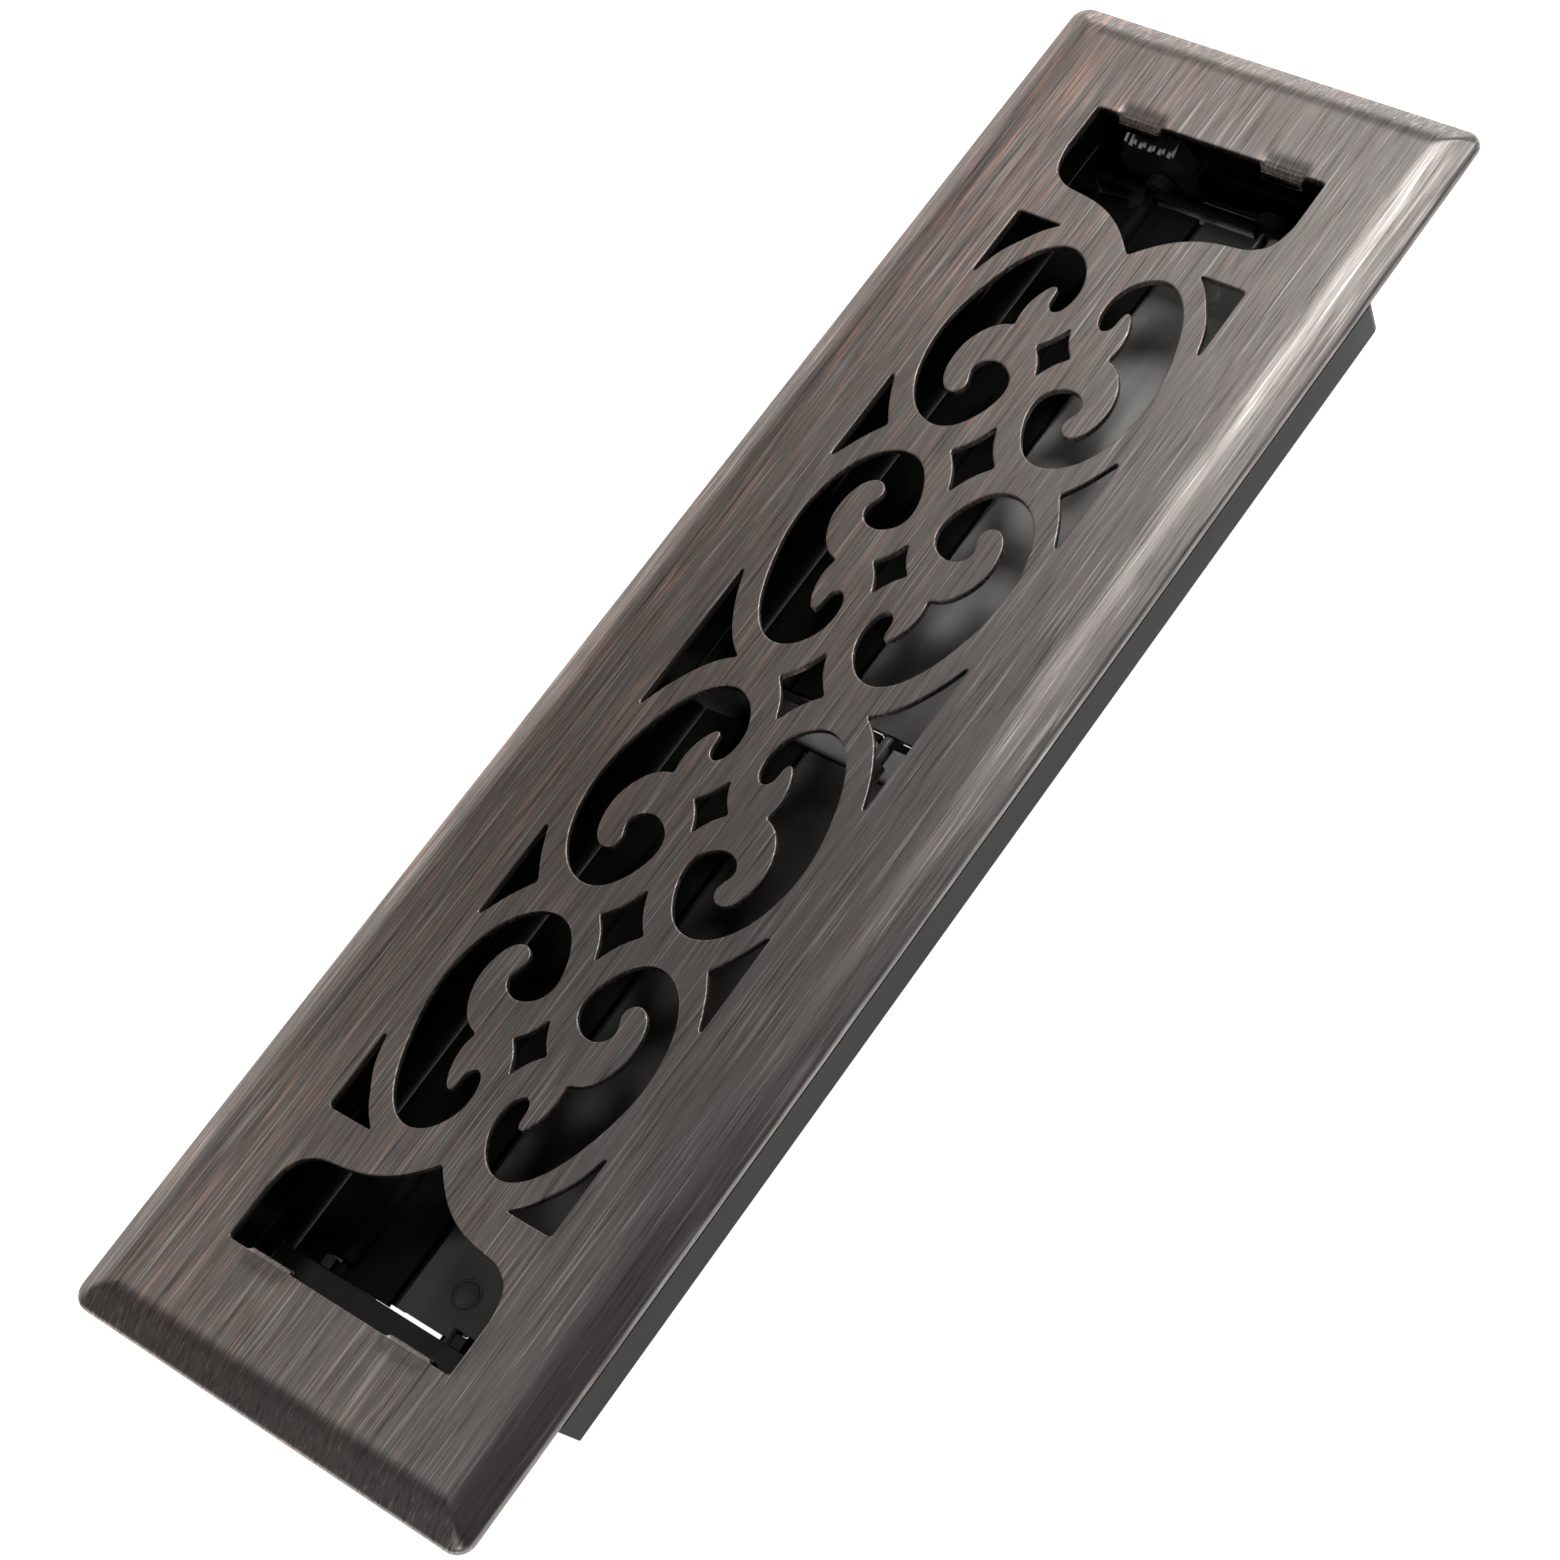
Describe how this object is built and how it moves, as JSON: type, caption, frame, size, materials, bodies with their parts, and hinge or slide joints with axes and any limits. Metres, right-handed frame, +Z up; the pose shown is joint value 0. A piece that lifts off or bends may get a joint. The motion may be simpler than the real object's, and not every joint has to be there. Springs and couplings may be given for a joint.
{
  "type": "floor register",
  "caption": "Louvred drop-in floor register: pressed steel faceplate with a scroll pattern over a moulded damper box with louvres worked by a thumb slider.",
  "frame": {"origin": "under the middle of the faceplate, at the height of the damper box's lower edge", "axes": "+Y along the register towards the slider end, +X across it, +Z up out of the floor"},
  "size_m": [0.0992, 0.343, 0.0524],
  "materials": {
    "plate": "brushed dark bronze with fine copper-coloured lines along the length, satin",
    "box": "moulded black plastic, satin",
    "louvre": "moulded black plastic, fine texture",
    "lever": "moulded black plastic, slightly shiny on the thumb's ribs"
  },
  "bodies": {
    "register": {"faceplate": "plate", "damper_box": "box", "centre_rail": "box"},
    "slider": {"link_bar": "lever", "thumb_slider": "lever"},
    "left_louvre": {"left_louvre_near": "louvre", "left_louvre_far": "louvre", "left_crank": "lever"},
    "right_louvre": {"right_louvre_near": "louvre", "right_louvre_far": "louvre", "right_crank": "lever"}
  },
  "joints": [
    {"name": "slider_travel", "type": "slide", "parent": "register", "child": "slider", "axis": [1, 0, 0], "range_m": [0, 0.0154]},
    {"name": "left_louvre_turn", "type": "hinge", "parent": "register", "child": "left_louvre", "pos_m": [-0.0135, 0, 0.0359], "axis": [0, 1, 0], "range_deg": [-80, 0]},
    {"name": "right_louvre_turn", "type": "hinge", "parent": "register", "child": "right_louvre", "pos_m": [0.0135, 0, 0.0359], "axis": [0, 1, 0], "range_deg": [-80, 0]}
  ],
  "couplings": [
    {"joint": "left_louvre_turn", "follows": "slider_travel", "rad_per_m": -90.5},
    {"joint": "right_louvre_turn", "follows": "slider_travel", "rad_per_m": -90.5}
  ]
}
